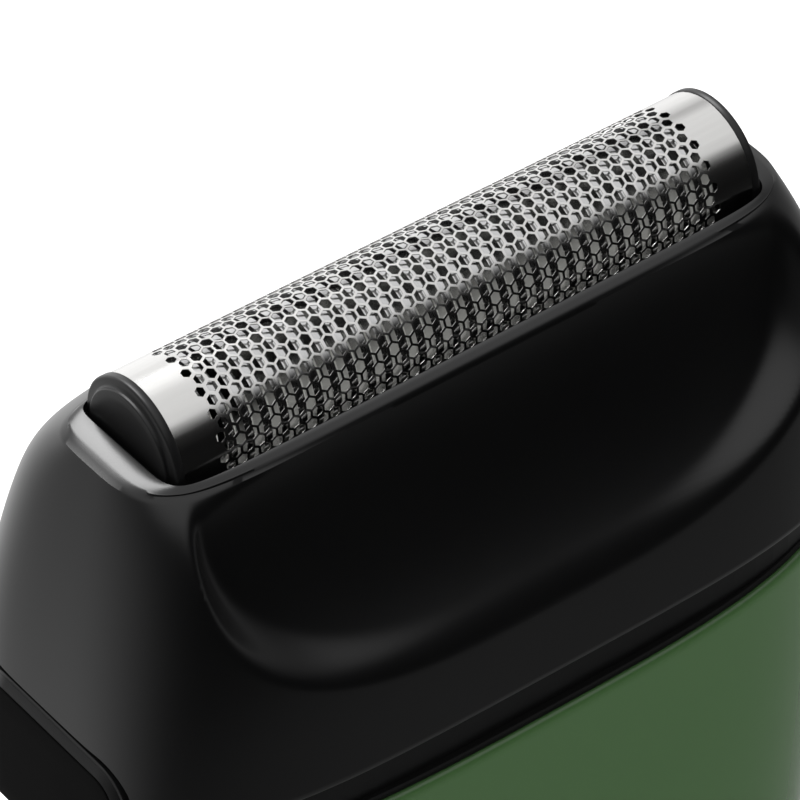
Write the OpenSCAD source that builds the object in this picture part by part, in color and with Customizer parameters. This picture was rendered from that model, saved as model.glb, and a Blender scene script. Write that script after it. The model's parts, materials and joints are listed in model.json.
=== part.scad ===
// Cordless foil shaver: a floating foil head over a hand-sized body

/* [Head] */
// Height of the foil's arch axis above the base
axis_z = 116; // [114:1:120]
// Half length of the foil
foil_half = 22; // [21.8:0.1:22]
// Outer radius of the foil's arch
foil_r = 4.58; // [4.55:0.01:4.6]
// Thickness of the foil
foil_t = 0.12; // [0.1:0.01:0.13]
// Wall of the head cover
cover_wall = 1.6; // [1.4:0.1:1.6]
// Depth of the head cover below the arch axis
cover_depth = 22.1; // [22:0.1:22.2]

/* [Body] */
// Half width of the body at its top
body_top_a = 29.6; // [29.4:0.1:30]
// Half width of the body at its bottom
body_low_a = 26.2; // [26:0.1:26.6]
// Half depth of the body at its top
body_top_b = 13; // [13:0.1:13.2]
// Half depth of the body at its waist
body_waist_b = 11.5; // [11.5:0.1:11.7]
// Wall of the body shells
body_wall = 1.6; // [1.5:0.1:1.6]
// Height of the bottom cap
cap_h = 8; // [8:0.1:8.2]

/* [Motion] */
// Stroke of the cutter to each side
stroke = 1.1; // [0.8:0.1:1.1]
// Travel of the floating foil
float_travel = 1.5; // [1:0.1:1.5]
// Travel of a release button
release_travel = 1.2; // [1:0.1:1.2]
// Travel of the power button
power_travel = 0.7; // [0.5:0.1:0.7]

/* [Drive] */
// Radius of the drive pin under the cutter
drive_pin_r = 1.5; // [1.4:0.05:1.5]
// Radius of the drive post
drive_post_r = 2.5; // [2.4:0.05:2.5]
// Radius of the motor shaft
shaft_r = 1; // [0.9:0.05:1]
// Radial clearance of a running fit
run_gap = 0.05; // [0.03:0.01:0.08]

/* [Hidden] */
$fn = 64;

// Heights of the main levels
body_top = axis_z - 25.7;
cover_low = axis_z - cover_depth;
gasket_h = 0.5;
band_top = cover_low - 0.2;
plug_top = band_top + 2.8;
shelf_z = plug_top + 1;
shelf_h = 2;
ring_points = 72;

// Head cover outline at a height below the arch axis: half width, then its depth in front and at the rear
rim_a = 25.3;
rim_b = 7.4;
rim_rear = 5.6;
rear_flare = 1.9;
rear_n = 5.2;
function cover_a(z) = rim_a + 4.6 * (1 - exp(z / 11.1));
function cover_b(z) = rim_b + 5.6 * (1 - exp(z / 3.15));
function cover_n(z) = 3.2 + 0.8 * (1 - exp(z / 8));
function cover_rear(z) = rim_rear + 5.5 * (1 - exp(z / 3)) + rear_flare * smooth((-z - 5) / 14);

// Front scoop: depth of its hollow face, which rises steeply at the sides of its U outline
scoop_half = 24.7;
scoop_low = 14.9;
scoop_rim = 6.35;
scoop_sweep = 6.5;
scoop_edge = 1.2;
side_rise = 8;
side_from = 0.9;
side_wide = 0.22;
function scoop_side(u, w) = pow(u / max(w, 0.001), 3) * smooth((w - side_from) / side_wide);
function scoop_y(x, z) = let (s = -z / scoop_low, u = abs(x) / scoop_half, w = pow(u ^ 3 + s ^ 3, 1 / 3))
    scoop_rim + scoop_sweep * pow(s, 2.2) + side_rise * scoop_side(u, w);
function smooth(t) = let (c = min(1, max(0, t))) c * c * (3 - 2 * c);
// Smaller of two depths, with the edge between them rounded
function round_min(u, v, k) = let (h = min(1, max(0, 0.5 + 0.5 * (u - v) / k)))
    u + (v - u) * h - k * h * (1 - h);

function power(v, n) = sign(v) * pow(abs(v), 2 / n);
function super_point(a, b, n, t) = [a * power(cos(t), n), b * power(sin(t), n)];
function super_ring(a, b, n, count = ring_points) =
    [for (i = [0 : count - 1]) super_point(a, b, n, 360 * i / count)];

// A ring of the cover: [height, half width, depth in front, squareness in front, inset of the scoop,
// least depth in front, depth at the rear, squareness at the rear]
function front_point(p, r) = let (d = -p[1], s = max(r[5], scoop_y(p[0], min(0, r[0])) - r[4]))
    [p[0], -min(d, max(r[5], round_min(d, s, scoop_edge)))];
function cover_ring(r) = [for (i = [0 : ring_points - 1]) let (t = 360 * i / ring_points,
    q = t > 180 ? front_point(super_point(r[1], r[2], r[3], t), r) : super_point(r[1], r[6], r[7], t))
    [q[0], q[1], axis_z + r[0]]];

outer_levels = [-cover_depth, -20, -17.6, -16.2, -15, -13.6, -12, -10, -8, -6, -4.2, -2.8, -1.6, -0.7];
opening_a = foil_half + 1.1;
opening_b = foil_r + 1.07;
opening_rear = foil_r + 0.72;
opening_n = 10;
opening_rear_n = 14;
lip_depth = 1.8;
scoop_wall = 0.9;
function outer_ring(z) = [z, cover_a(z), cover_b(z), cover_n(z), 0, 0, cover_rear(z), rear_n];
function opening_ring(z) = [z, opening_a, opening_b, opening_n, 0, opening_b, opening_rear, opening_rear_n];
function inner_ring(z) = z > -lip_depth ? opening_ring(z)
    : [z, max(opening_a, cover_a(z) - cover_wall), max(opening_b, cover_b(z) - cover_wall), cover_n(z),
        scoop_wall, opening_b, max(opening_rear, cover_rear(z) - cover_wall), rear_n];
rim_rings = [[0.03, rim_a - 0.8, rim_b - 0.8, 4.6, 0.15, 0, rim_rear, 8],
    [0.42, opening_a + 0.2, opening_b + 0.25, 8, 0.45, 0, opening_rear + 0.15, 12],
    opening_ring(0.3)];
cover_rings = concat([for (z = outer_levels) outer_ring(z)], rim_rings,
    [for (i = [len(outer_levels) - 1 : -1 : 0]) inner_ring(outer_levels[i])]);

// Joins rings of equal count into a closed tube wall whose last ring meets the first
module ring_wall(rings) {
    n = len(rings[0]);
    m = len(rings);
    polyhedron(points = [for (r = rings) for (p = r) p],
        faces = [for (i = [0 : m - 1]) for (j = [0 : n - 1]) for (k = [0, 1])
            let (a = i * n + j, b = i * n + (j + 1) % n,
                c = ((i + 1) % m) * n + (j + 1) % n, d = ((i + 1) % m) * n + j)
            k == 0 ? [a, d, c] : [a, c, b]]);
}

// Closed solid through a stack of rings
module ring_stack(rings) {
    n = len(rings[0]);
    m = len(rings);
    polyhedron(points = [for (r = rings) for (p = r) p],
        faces = concat([for (i = [0 : m - 2]) for (j = [0 : n - 1]) for (k = [0, 1])
            let (a = i * n + j, b = i * n + (j + 1) % n, c = (i + 1) * n + (j + 1) % n, d = (i + 1) * n + j)
            k == 0 ? [a, d, c] : [a, c, b]],
            [[for (j = [0 : n - 1]) j]],
            [[for (j = [n - 1 : -1 : 0]) (m - 1) * n + j]]));
}

// Flat plate with a superellipse outline
module super_plate(a, b, n, z0, z1) {
    translate([0, 0, z0]) linear_extrude(z1 - z0) polygon(super_ring(a, b, n));
}

// Plate with a superellipse outline and a superellipse hole
module super_frame(a, b, n, hole_a, hole_b, z0, z1) {
    translate([0, 0, z0]) linear_extrude(z1 - z0) difference() {
        polygon(super_ring(a, b, n));
        polygon(super_ring(hole_a, hole_b, n));
    }
}

// Slab across X with round upper corners, about the middle of the notch
module end_slab(x0, x1, half_y, z0, z1, r) {
    translate([x0, notch_y, 0]) rotate([90, 0, 90]) linear_extrude(x1 - x0) union() {
        translate([-half_y, z0]) square([2 * half_y, z1 - z0 - r]);
        translate([-half_y + r, z0]) square([2 * (half_y - r), z1 - z0]);
        for (s = [-1, 1]) translate([s * (half_y - r), z1 - r]) circle(r);
    }
}

// Upright box from its middle in X and Y
module post_box(x, y, w, d, z0, z1) {
    translate([x - w / 2, y - d / 2, z0]) cube([w, d, z1 - z0]);
}

module tube(r_out, r_in, z0, z1) {
    translate([0, 0, z0]) difference() {
        cylinder(h = z1 - z0, r = r_out);
        translate([0, 0, -1]) cylinder(h = z1 - z0 + 2, r = r_in);
    }
}

// Coil spring along Z: a round wire swept along a helix with closed ends
module coil(r, wire, z0, z1, turns) {
    steps = turns * 12;
    sides = 6;
    rise = z1 - z0 - 2 * wire;
    rings = [for (i = [0 : steps]) let (a = 360 * turns * i / steps, zc = z0 + wire + rise * i / steps)
        [for (k = [0 : sides - 1]) let (q = 360 * k / sides, rr = r + wire * cos(q))
            [rr * cos(a), rr * sin(a), zc + wire * sin(q)]]];
    ring_stack([for (ring = rings) [for (k = [sides - 1 : -1 : 0]) ring[k]]]);
}

// Lead that runs through a list of points
module lead(points, r) {
    for (i = [0 : len(points) - 2]) {
        v = points[i + 1] - points[i];
        translate(points[i]) rotate([0, acos(v[2] / norm(v)), atan2(v[1], v[0])])
            cylinder(h = norm(v), r = r);
    }
    for (i = [1 : len(points) - 2]) translate(points[i]) sphere(r = 1.15 * r);
}

// ---- Head ----
notch_half = 8.2;
notch_y = 1;
notch_top = axis_z - 18.7;
corner_r = 3;

module head_cover() {
    color([0.03, 0.03, 0.035]) resize([0, 0, 0]) difference() {
        ring_wall([for (r = cover_rings) cover_ring(r)]);
        end_slab(-40, 40, notch_half, cover_low - 1, notch_top, corner_r);
    }
}

spring_x = 24.2;
module head_inner_frame() {
    color([0.1, 0.1, 0.11]) difference() {
        super_plate(27, 10.9, 4, shelf_z, shelf_z + shelf_h);
        post_box(0, 0, 2 * (foil_half + 0.3), 10, shelf_z - 1, shelf_z + shelf_h + 1);
    }
}

skirt_low = axis_z - 5.5;
module arch_section(r) {
    circle(r);
    translate([-r, skirt_low - axis_z]) square([2 * r, axis_z - skirt_low]);
}
module foil() {
    color([0.8, 0.8, 0.8]) translate([-foil_half, 0, axis_z]) rotate([90, 0, 90])
        linear_extrude(2 * foil_half) difference() {
            intersection() {
                arch_section(foil_r);
                translate([-10, skirt_low - axis_z]) square([20, 20]);
            }
            translate([0, -0.01]) arch_section(foil_r - foil_t);
            translate([-foil_r + foil_t, -10]) square([2 * (foil_r - foil_t), 10]);
        }
}

frame_low = axis_z - 8.5;
frame_top = axis_z - 3.2;
frame_half = foil_half + 0.7;
ear_half = foil_half + 3.5;
module foil_frame() {
    color([0.05, 0.05, 0.05]) difference() {
        union() {
            post_box(0, 0, 2 * frame_half, 10.6, frame_low, frame_top);
            post_box(0, 0, 2 * ear_half, 8, frame_low, frame_low + 2);
        }
        post_box(0, 0, 2 * (foil_half - 0.1), 2 * (foil_r - foil_t), frame_low - 1, skirt_low);
        post_box(0, 0, 2 * foil_half, 2 * foil_r, skirt_low, frame_top + 1);
    }
}

cap_r = foil_r + 0.06;
module foil_cap(side) {
    color([0.04, 0.04, 0.04]) translate([0, 0, axis_z]) rotate([90, 0, 90]) {
        translate([0, 0, side > 0 ? foil_half : -foil_half - 0.6]) linear_extrude(0.6) intersection() {
            arch_section(cap_r);
            translate([-10, frame_top - axis_z]) square([20, 20]);
        }
        translate([0, 0, side > 0 ? foil_half + 0.6 : -foil_half - 0.9]) linear_extrude(0.3) intersection() {
            circle(cap_r - 0.7);
            translate([-10, frame_top - axis_z]) square([20, 20]);
        }
    }
}
module foil_cap_left() foil_cap(-1);
module foil_cap_right() foil_cap(1);

module foil_springs() {
    color("silver") for (s = [-1, 1]) translate([s * spring_x, 0, 0])
        coil(1, 0.15, shelf_z + shelf_h, frame_low, 5);
}

// ---- Cutter ----
fin_pitch = 1.3;
fin_count = 31;
fin_t = 0.6;
cutter_r = foil_r - foil_t - 0.16;
carrier_top = axis_z - 3.2;
carrier_low = axis_z - 7;
boss_low = axis_z - 9.5;
module cutter_blades() {
    color([0.85, 0.85, 0.85]) for (i = [0 : fin_count - 1])
        translate([(i - (fin_count - 1) / 2) * fin_pitch - fin_t / 2, 0, axis_z]) rotate([90, 0, 90])
            linear_extrude(fin_t) difference() {
                intersection() {
                    circle(cutter_r);
                    translate([-10, carrier_top - axis_z]) square([20, 20]);
                }
                circle(cutter_r - 1.1);
                translate([-2, -10]) square([4, 10]);
            }
}

carrier_half = 20.3;
module cutter_carrier() {
    color([0.85, 0.85, 0.82]) difference() {
        union() {
            post_box(0, 0, 2 * carrier_half, 7.2, carrier_low, carrier_top);
            translate([0, 0, boss_low]) cylinder(h = carrier_low - boss_low, r = 3);
        }
        translate([0, 0, boss_low - 1]) cylinder(h = axis_z - 3.8 - boss_low + 1, r = drive_pin_r + run_gap);
    }
}

shoulder_z = axis_z - 15;
module cutter_spring() {
    color("silver") coil(2.15, 0.2, shoulder_z, boss_low, 4);
}

// ---- Drive ----
bridge_z = body_top - 8.3;
bridge_top = bridge_z + 4.5;
crank_r = 0.9;
window_x = 2 * stroke + crank_r + 0.2;
window_y = stroke + crank_r + 0.2;
leg_x = 14;
foot_z = bridge_z - 22;

module drive_post() {
    color([0.75, 0.75, 0.76]) union() {
        translate([0, 0, bridge_top]) cylinder(h = shoulder_z - bridge_top, r = drive_post_r);
        translate([0, 0, shoulder_z]) cylinder(h = axis_z - 5.6 - shoulder_z, r = drive_pin_r);
    }
}

module drive_bridge() {
    color([0.9, 0.9, 0.88]) difference() {
        post_box(0, 0, 2 * (leg_x + 2), 9, bridge_z, bridge_top);
        post_box(0, 0, 2 * window_x, 2 * window_y, bridge_z - 1, bridge_z + 2.6);
        for (s = [-1, 1]) post_box(s * 9.5, 0, 7, 5, bridge_z + 1.2, bridge_top + 1);
    }
}

module flexure(side) {
    color([0.9, 0.9, 0.88]) translate([side * leg_x, 0, 0]) union() {
        translate([0, 4, foot_z]) rotate([90, 0, 0]) cylinder(h = 8, r = 1);
        post_box(0, 0, 0.8, 8, foot_z, bridge_z - 0.3);
    }
}
module flexure_left() flexure(-1);
module flexure_right() flexure(1);

cam_top = bridge_z - 1.5;
cam_low = cam_top - 2.9;
module eccentric_cam() {
    color([0.72, 0.6, 0.3]) translate([0, 0, cam_low]) difference() {
        cylinder(h = cam_top - cam_low, r = 3.1);
        translate([0, 0, -1]) cylinder(h = cam_top - cam_low + 2, r = shaft_r);
        translate([-4, 2.1, -1]) cube([8, 3, 2.4]);
    }
}

module crank_pin() {
    color("silver") translate([0, stroke, cam_top]) cylinder(h = 3.5, r = crank_r);
}

// ---- Motor ----
can_top = cam_low - 2.6;
can_low = can_top - 21.4;
bell_low = can_low - 3;
can_w = 20;
can_d = 15;
module flat_round(r, depth, h) {
    intersection() {
        cylinder(h = h, r = r);
        translate([-r - 1, -depth / 2, -1]) cube([2 * r + 2, depth, h + 2]);
    }
}

module motor_shaft() {
    color("silver") translate([0, 0, bell_low + 0.4]) cylinder(h = cam_top - bell_low - 0.4, r = shaft_r);
}

module motor_rotor() {
    color([0.72, 0.38, 0.2]) translate([0, 0, can_low + 2.4]) difference() {
        cylinder(h = 16, r = 5.7);
        translate([0, 0, -1]) cylinder(h = 18, r = shaft_r);
        for (a = [90, 210, 330]) rotate([0, 0, a]) translate([2.6, -0.8, -1]) cube([4, 1.6, 18]);
    }
}

module motor_magnets() {
    color([0.2, 0.2, 0.22]) for (s = [0, 180]) rotate([0, 0, s]) translate([0, 0, can_low + 2])
        intersection() {
        difference() {
            cylinder(h = 17, r = 8.3);
            translate([0, 0, -1]) cylinder(h = 19, r = 6.2);
        }
        translate([3.9, -6.6, -1]) cube([10, 13.2, 19]);
    }
}

module motor_bearing() {
    color([0.72, 0.6, 0.3]) tube(3, shaft_r + run_gap, can_top - 0.8, can_top + 1.4);
}

module motor_can() {
    color([0.72, 0.73, 0.74]) translate([0, 0, can_low]) difference() {
        flat_round(can_w / 2, can_d, can_top - can_low);
        translate([0, 0, -0.8]) flat_round(can_w / 2 - 0.8, can_d - 1.6, can_top - can_low);
        cylinder(h = can_top - can_low + 1, r = 3);
        for (s = [-1, 1]) translate([s * 5.5, 0, 0]) cylinder(h = can_top - can_low + 1, r = 0.8);
    }
}

module motor_end_bell() {
    color([0.12, 0.12, 0.12]) translate([0, 0, bell_low]) difference() {
        flat_round(can_w / 2, can_d, can_low - bell_low);
        cylinder(h = 20, r = shaft_r + run_gap, center = true);
        for (s = [-1, 1]) translate([s * 4.5 - 0.25, -1, -1]) cube([0.5, 2, 6]);
    }
}

module motor_terminals() {
    color([0.75, 0.6, 0.35]) for (s = [-1, 1])
        translate([s * 4.5 - 0.25, -1, bell_low - 1.6]) cube([0.5, 2, 4]);
}

module motor_bracket() {
    color([0.7, 0.71, 0.72]) translate([0, 0, can_top]) difference() {
        translate([-12, -7, 0]) cube([24, 14.9, 1.6]);
        translate([0, 0, -1]) cylinder(h = 4, r = 3.2);
        for (s = [-1, 1]) translate([s * 5.5, 0, -1]) cylinder(h = 4, r = 0.8);
    }
}

module motor_screws() {
    color("silver") for (s = [-1, 1]) translate([s * 5.5, 0, can_top]) union() {
        translate([0, 0, -1.6]) cylinder(h = 3.2, r = 0.8);
        difference() {
            translate([0, 0, 1.6]) cylinder(h = 1, r = 1.4);
            translate([-0.2, -2, 2.1]) cube([0.4, 4, 1]);
        }
    }
}

// ---- Inner frame, battery and board ----
back_y = 7.9;
back_t = 1.2;
base_z = cap_h + 0.6;
cell_x = 16.2;
cell_r = 5.1;
cell_low = base_z + 1.4;
cell_top = cell_low + 44;
screw_x = 17;
module chassis() {
    color([0.16, 0.16, 0.17]) difference() {
        union() {
            translate([-15.5, back_y, base_z]) cube([31, back_t, can_top + 1.6 - base_z]);
            translate([-19.5, -5, base_z]) cube([39, back_y + 5, 1.2]);
            translate([-10, -7, bell_low - 2]) cube([20, back_y + 7, 2]);
            for (s = [-1, 1]) {
                post_box(s * leg_x, 1.7, 3.8, 2 * back_y - 3.4, foot_z - 2.5, foot_z + 1);
                translate([s * screw_x, 0, 3.2]) cylinder(h = base_z - 3.2, r = 2.4);
                for (z = [18, 42]) post_box(s * 14, 6.2, 8, 3.6, z, z + 2);
            }
        }
        translate([-10.5, -9, base_z - 1]) cube([21, 12, 3]);
        translate([0, 0, bell_low - 3]) cylinder(h = 4, r = 6);
        for (s = [-1, 1]) {
            translate([s * cell_x, 0, cell_low]) cylinder(h = cell_top - cell_low, r = cell_r + 0.1);
            translate([s * leg_x, 4.3, foot_z]) rotate([90, 0, 0]) cylinder(h = 12, r = 1 + run_gap);
            post_box(s * leg_x, -1.7, 1.6, 12, foot_z, foot_z + 2);
            translate([s * screw_x, 0, 0]) cylinder(h = base_z + 2, r = 1);
        }
    }
}

module battery_cell(side) {
    color([0.2, 0.45, 0.3]) translate([side * cell_x, 0, cell_low]) union() {
        cylinder(h = cell_top - cell_low - 1, r = cell_r);
        translate([0, 0, cell_top - cell_low - 1]) cylinder(h = 1, r = 1.9);
    }
}
module battery_cell_left() battery_cell(-1);
module battery_cell_right() battery_cell(1);

module battery_tabs() {
    color("silver") {
        for (s = [-1, 1]) post_box(s * cell_x, 0, 4, 4, cell_top, cell_top + 0.2);
        for (s = [-1, 1]) post_box(s * (cell_x - 1.1), 0, 6.2, 4, cell_low - 0.2, cell_low);
    }
}

board_y = -4.6;
board_t = 1;
board_low = 6;
board_top = bell_low - 2.6;
button_z = 40;
pipe_z = 27;
module circuit_board() {
    color([0.05, 0.3, 0.15]) difference() {
        translate([-10, board_y, board_low]) cube([20, board_t, board_top - board_low]);
        for (s = [-1, 1]) translate([s * 8, 0, board_top - 3]) rotate([90, 0, 0]) cylinder(h = 12, r = 1);
    }
}

module board_chips() {
    color([0.08, 0.08, 0.08]) {
        translate([-3, board_y + board_t, 28]) cube([6, 1, 6]);
        translate([4, board_y + board_t, 20]) cube([3, 1.2, 2.6]);
        translate([-7.5, board_y + board_t, 18]) cube([4, 1.8, 4]);
        for (i = [0 : 3]) translate([-7 + i * 3.2, board_y + board_t, 37]) cube([1.6, 0.6, 0.9]);
    }
}

module power_switch() {
    color([0.8, 0.8, 0.8]) union() {
        translate([-3, board_y - 1.6, button_z - 3]) cube([6, 1.6, 6]);
        translate([0, board_y - 1.6, button_z]) rotate([90, 0, 0]) cylinder(h = 0.8, r = 1.2);
    }
}

module status_led() {
    color([0.9, 0.95, 0.9]) translate([-0.8, board_y - 0.9, pipe_z - 0.8]) cube([1.6, 0.9, 1.6]);
}

module light_pipe() {
    color([0.85, 0.9, 0.85]) translate([0, board_y - 1.4, pipe_z]) rotate([90, 0, 0])
        cylinder(h = body_b(pipe_z) + board_y - 1.4, r = 1.2);
}

port_y = -1.95;
port_low = 0.8;
module stadium(w, h) {
    square([w - h, h], center = true);
    for (s = [-1, 1]) translate([s * (w - h) / 2, 0]) circle(h / 2);
}
module charge_port() {
    color("silver") translate([0, port_y, port_low]) difference() {
        linear_extrude(7.3) stadium(8.94, 3.26);
        translate([0, 0, -1]) linear_extrude(7.4) stadium(8.34, 2.56);
    }
}
module charge_port_tongue() {
    color([0.05, 0.05, 0.05]) translate([-3.3, port_y - 0.35, port_low + 1]) cube([6.6, 0.7, 5.4]);
}

lead_r = 0.4;
lead_y = board_y + board_t + lead_r;
module motor_leads() {
    color([0.7, 0.1, 0.1]) for (s = [-1, 1])
        lead([[s * 4.5, 0.6, bell_low - 1.6], [s * 4.5, 0.6, board_top - 3],
            [s * 5.5, lead_y + 0.1, board_top - 6]], lead_r);
}
module battery_leads() {
    color([0.1, 0.1, 0.1]) for (s = [-1, 1])
        lead([[s * 14.6, -1.4, cell_top + 0.65], [s * 11.2, lead_y, cell_top + 0.65],
            [s * 10.2, lead_y, board_top - 4]], lead_r);
}

// ---- Collar ----
band_a = body_top_a - 1.1;
band_b = body_top_b - 0.95;
plug_a = body_top_a - 1.9;
plug_b = body_top_b - 2.1;
button_depth = 3;
button_level = -20.5;
button_gap = 0.8;
notch_low = body_top - 6.3;
button_face = cover_a(button_level) - 0.2;
button_back = button_face - button_depth;
pocket_x = button_back - release_travel - 0.3;
stem_z = band_top;
module collar_frame() {
    color([0.03, 0.03, 0.03]) difference() {
        union() {
            super_frame(plug_a, plug_b, 3.2, plug_a - 2, plug_b - 2, body_top - 4, body_top + gasket_h);
            super_plate(band_a, band_b, 3.6, body_top + gasket_h, band_top);
            super_plate(26, 10.8, 4, band_top, plug_top);
        }
        post_box(0, 0, 8.4, 6.6, body_top - 5, plug_top + 1);
        for (s = [-1, 1]) {
            translate([s > 0 ? pocket_x : -pocket_x - 10, notch_y - notch_half, notch_low])
                cube([10, 2 * notch_half, 16]);
            translate([s * 15.5, 0, stem_z]) rotate([0, s * 90, 0]) cylinder(h = 20, r = 1.2 + run_gap);
            translate([s * 21, 0, stem_z]) rotate([0, s * 90, 0]) cylinder(h = 20, r = 2.2);
        }
    }
}

module collar_gasket() {
    color([0.2, 0.2, 0.2]) difference() {
        super_frame(body_top_a - 0.5, body_top_b - 0.4, 3.2, plug_a + 0.05, plug_b + 0.05,
            body_top, body_top + gasket_h);
        end_slab(-40, 40, notch_half, notch_low, notch_top, corner_r);
    }
}

module post_seal() {
    color([0.1, 0.1, 0.1]) difference() {
        super_plate(7, 4.7, 3, plug_top, plug_top + 1.5);
        translate([0, 0, plug_top - 1]) linear_extrude(4)
            stadium(2 * (drive_post_r + stroke + 0.3), 2 * (drive_post_r + 0.3));
    }
}

module release_button(side) {
    color([0.06, 0.06, 0.06]) mirror([side > 0 ? 0 : 1, 0, 0]) union() {
        intersection() {
            super_plate(button_face, cover_b(button_level), 6, notch_low, notch_top);
            end_slab(button_back, button_back + 9, notch_half - button_gap, notch_low + 0.5,
                notch_top - 1.4 * button_gap, corner_r - 0.3);
        }
        translate([17, 0, stem_z]) rotate([0, 90, 0]) cylinder(h = button_back - 16.5, r = 1.2);
    }
}
module release_button_left() release_button(-1);
module release_button_right() release_button(1);

module release_springs() {
    color("silver") for (s = [-1, 1]) translate([s * 21.1, 0, stem_z]) rotate([0, s * 90, 0])
        coil(1.75, 0.2, 0, pocket_x - 21.2, 3);
}

// ---- Body ----
body_n = 3.2;
function body_a(z) = body_low_a + (body_top_a - body_low_a) * smooth(z / body_top);
function body_b(z) = body_waist_b + (body_top_b - body_waist_b) * pow((z - 40) / (body_top - 40), 2);
half_points = 36;
shell_levels = [for (i = [0 : 10]) cap_h + (body_top - cap_h) * i / 10];

// Half of the body's wall, from one side seam round to the other
module half_shell(start) {
    n = half_points + 1;
    m = len(shell_levels);
    function arc(a, b, z) = [for (i = [0 : half_points])
        let (p = super_point(a, b, body_n, start + 180 * i / half_points)) [p[0], p[1], z]];
    rings = [for (z = shell_levels) concat(arc(body_a(z), body_b(z), z),
        [for (i = [half_points : -1 : 0]) arc(body_a(z) - body_wall, body_b(z) - body_wall, z)[i]])];
    t = 2 * n;
    top = (m - 1) * t;
    sides = [for (i = [0 : m - 2]) for (j = [0 : t - 1]) for (k = [0, 1])
        let (a = i * t + j, b = i * t + (j + 1) % t, c = (i + 1) * t + (j + 1) % t, d = (i + 1) * t + j)
        k == 0 ? [a, d, c] : [a, c, b]];
    low_end = [for (j = [0 : half_points - 1]) for (k = [0, 1])
        let (p = t - 1 - j) k == 0 ? [j, j + 1, p - 1] : [j, p - 1, p]];
    high_end = [for (f = low_end) [top + f[0], top + f[2], top + f[1]]];
    polyhedron(points = [for (r = rings) for (p = r) p], faces = concat(sides, low_end, high_end));
}

button_r = 6.3;
module front_shell() {
    color([0.25, 0.35, 0.24]) resize([0, 0, 0]) difference() {
        half_shell(180);
        translate([0, 0, button_z]) rotate([90, 0, 0]) {
            cylinder(h = 30, r = button_r + 0.3);
            translate([0, 0, body_waist_b - 0.4]) cylinder(h = 10, r = button_r + 1.3);
        }
        translate([0, 0, pipe_z]) rotate([90, 0, 0]) cylinder(h = 30, r = 1.25);
        end_slab(-40, 40, notch_half, notch_low, notch_top, corner_r);
    }
}
module rear_shell() {
    color([0.25, 0.35, 0.24]) resize([0, 0, 0]) difference() {
        half_shell(0);
        end_slab(-40, 40, notch_half, notch_low, notch_top, corner_r);
    }
}

cap_levels = [[0, 1.6], [0.4, 0.9], [1.1, 0.35], [2.2, 0], [cap_h, 0]];
function cap_ring(z, inset) =
    [for (p = super_ring(body_a(z) - inset, body_b(z) - inset, body_n)) [p[0], p[1], z]];
module bottom_cap() {
    color([0.25, 0.35, 0.24]) resize([0, 0, 0]) difference() {
        ring_stack([for (l = cap_levels) cap_ring(l[0], l[1])]);
        difference() {
            ring_stack([cap_ring(2, body_wall + 0.6), cap_ring(cap_h + 1, body_wall)]);
            for (s = [-1, 1]) translate([s * screw_x, 0, 0]) cylinder(h = 3.2, r = 3.2);
        }
        translate([0, port_y, -1]) linear_extrude(4) stadium(9.5, 3.8);
        for (s = [-1, 1]) translate([s * screw_x, 0, -1]) {
            cylinder(h = 2.9, r = 2.1);
            cylinder(h = 10, r = 1.15);
        }
    }
}

module bottom_screws() {
    color("silver") for (s = [-1, 1]) translate([s * screw_x, 0, 0]) difference() {
        union() {
            translate([0, 0, 0.7]) cylinder(h = 1.2, r = 1.9);
            translate([0, 0, 1.9]) cylinder(h = 6, r = 1);
        }
        for (a = [0, 90]) rotate([0, 0, a]) translate([-1.2, -0.25, 0]) cube([2.4, 0.5, 1.4]);
    }
}

module power_button() {
    color([0.7, 0.71, 0.72]) translate([0, 0, button_z]) rotate([90, 0, 0]) difference() {
        union() {
            translate([0, 0, body_waist_b - 2.7]) cylinder(h = 3, r = button_r);
            translate([0, 0, body_waist_b - 2.7]) cylinder(h = 0.8, r = button_r + 1);
            translate([0, 0, body_waist_b - 3.6]) cylinder(h = 1, r = 1.6);
        }
        translate([0, 0, body_waist_b + 25.1]) sphere(r = 25);
    }
}

module button_bezel() {
    color([0.8, 0.8, 0.8]) translate([0, 0, button_z]) rotate([90, 0, 0])
        tube(button_r + 1.2, button_r + 0.3, body_waist_b - 0.4, body_waist_b + 0.25);
}

head_cover();
head_inner_frame();
foil();
foil_frame();
foil_cap_left();
foil_cap_right();
foil_springs();
cutter_blades();
cutter_carrier();
cutter_spring();
drive_post();
drive_bridge();
flexure_left();
flexure_right();
eccentric_cam();
crank_pin();
motor_shaft();
motor_rotor();
motor_magnets();
motor_bearing();
motor_can();
motor_end_bell();
motor_terminals();
motor_bracket();
motor_screws();
chassis();
battery_cell_left();
battery_cell_right();
battery_tabs();
circuit_board();
board_chips();
power_switch();
status_led();
light_pipe();
charge_port();
charge_port_tongue();
motor_leads();
battery_leads();
collar_frame();
collar_gasket();
post_seal();
release_button_left();
release_button_right();
release_springs();
front_shell();
rear_shell();
bottom_cap();
bottom_screws();
power_button();
button_bezel();
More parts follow.
